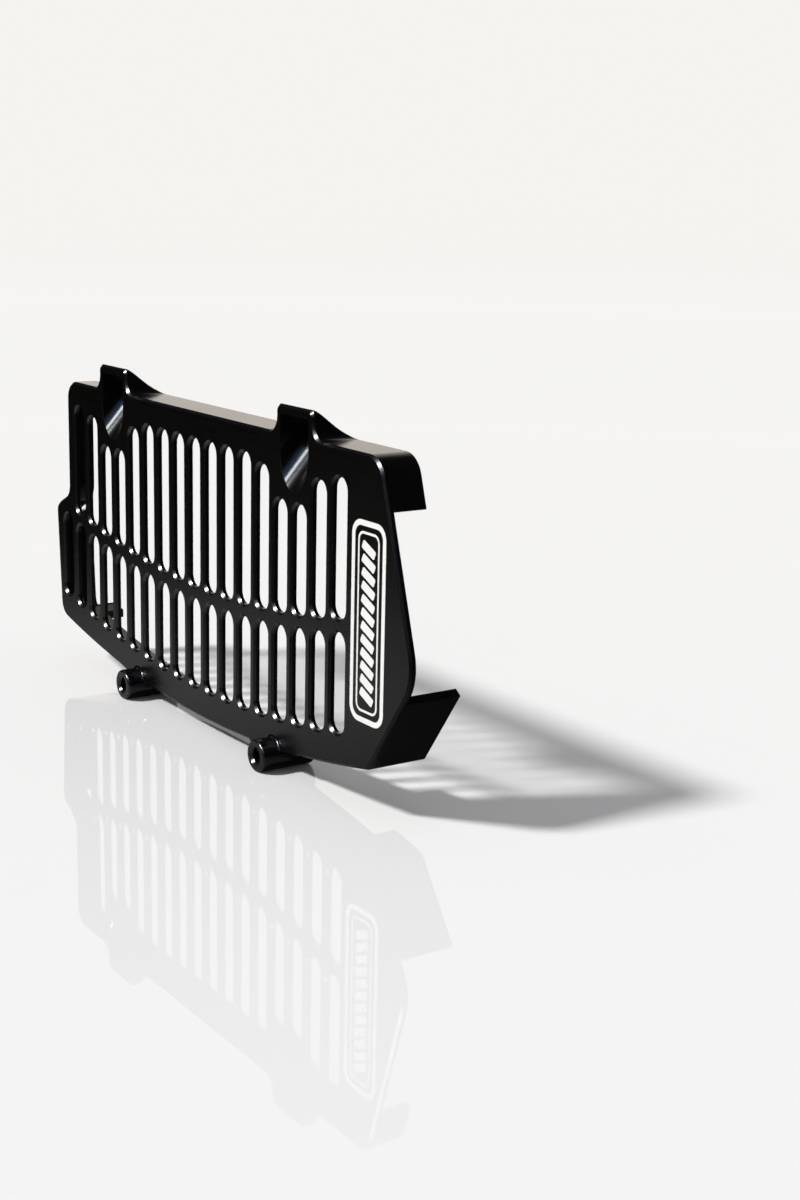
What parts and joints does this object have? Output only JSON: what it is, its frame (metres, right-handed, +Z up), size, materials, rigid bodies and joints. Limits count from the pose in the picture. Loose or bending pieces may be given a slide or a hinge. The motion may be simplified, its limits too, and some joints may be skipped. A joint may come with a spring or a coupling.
{
  "type": "motorcycle radiator guard",
  "caption": "Slotted radiator guard machined in one piece: curved-bottomed grille plate, rim walls behind it, two hooked top lugs with pockets, and two bolt bosses under its lower edge.",
  "frame": {"origin": "middle of the base of the bounding box, on the surface that the two bosses stand on", "axes": "+X along the top edge towards the plain end with the side opening, +Y from the front face back towards the radiator, +Z up"},
  "size_m": [0.256, 0.0296, 0.1254],
  "materials": {
    "black_anodised": "satin black anodised, machined"
  },
  "bodies": {
    "root": {"radiator_guard": "black_anodised"}
  },
  "joints": []
}
